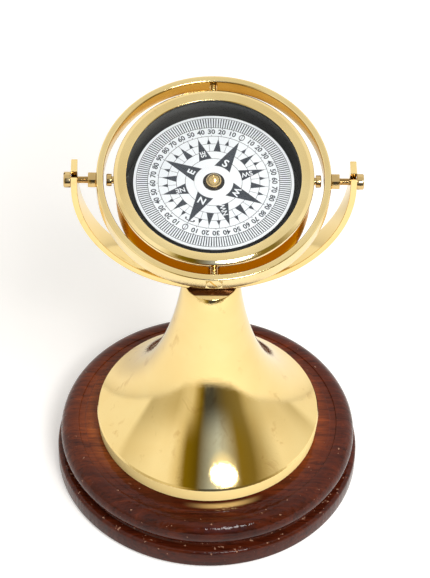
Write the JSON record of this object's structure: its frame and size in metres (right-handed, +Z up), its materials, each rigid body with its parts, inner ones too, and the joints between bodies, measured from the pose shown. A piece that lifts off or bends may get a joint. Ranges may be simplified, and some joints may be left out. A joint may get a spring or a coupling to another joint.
{
  "type": "gimbal compass",
  "caption": "Desk compass whose bowl hangs in a two-axis gimbal ring, carried by a strap yoke on a flared brass pedestal and a turned round wooden base.",
  "frame": {"origin": "on the table under the middle of the round base", "axes": "+Z up along the pedestal, +X along the yoke from arm to arm, -Y towards the front, the side that the lift-out slots and the resting bowl lean to"},
  "size_m": [0.1524, 0.1524, 0.2128],
  "materials": {
    "rosewood": "dark rosewood under a glossy varnish",
    "felt": "short felt",
    "polished_brass": "polished and lacquered",
    "satin_brass": "satin, turned",
    "steel": "plain turned steel",
    "glass": "clear and flat",
    "black_rubber": "matt",
    "black_lacquer": "semi-gloss black lacquer",
    "cast_weight": "as cast, turned at the ends",
    "card": "white printed disc",
    "jewel": "polished"
  },
  "bodies": {
    "stand": {"wood_base": "rosewood", "felt_pad": "felt", "pedestal": "polished_brass", "neck_plate": "polished_brass", "yoke_collar": "polished_brass", "yoke": "polished_brass", "tie_bolt": "polished_brass", "base_washer": "steel", "base_nut": "steel"},
    "ring": {"gimbal_ring": "satin_brass", "pivot_bolts": "polished_brass", "lock_nuts": "polished_brass", "bearing_screws": "satin_brass"},
    "bowl": {"bowl_case": "satin_brass", "bezel": "satin_brass", "cover_glass": "glass", "glass_gasket": "black_rubber", "liner_cup": "black_lacquer", "ballast_weight": "cast_weight", "pivot_post": "polished_brass", "pivot_needle": "steel", "bearing_bushes": "polished_brass", "side_screws": "polished_brass"},
    "card": {"compass_card": "card", "card_hub": "black_lacquer", "card_cap": "polished_brass", "jewel_cup": "jewel", "magnets": "steel"}
  },
  "joints": [
    {"name": "ring_tilt", "type": "hinge", "parent": "stand", "child": "ring", "pos_m": [0, 0, 0.19262], "axis": [1, 0, 0], "continuous": true},
    {"name": "bowl_tilt", "type": "hinge", "parent": "ring", "child": "bowl", "pos_m": [0, 0, 0.19262], "axis": [0, 0.9563, 0.2924], "continuous": true},
    {"name": "card_spin", "type": "hinge", "parent": "bowl", "child": "card", "pos_m": [0, 0.00006, 0.19243], "axis": [0, -0.2164, 0.9763], "continuous": true}
  ]
}
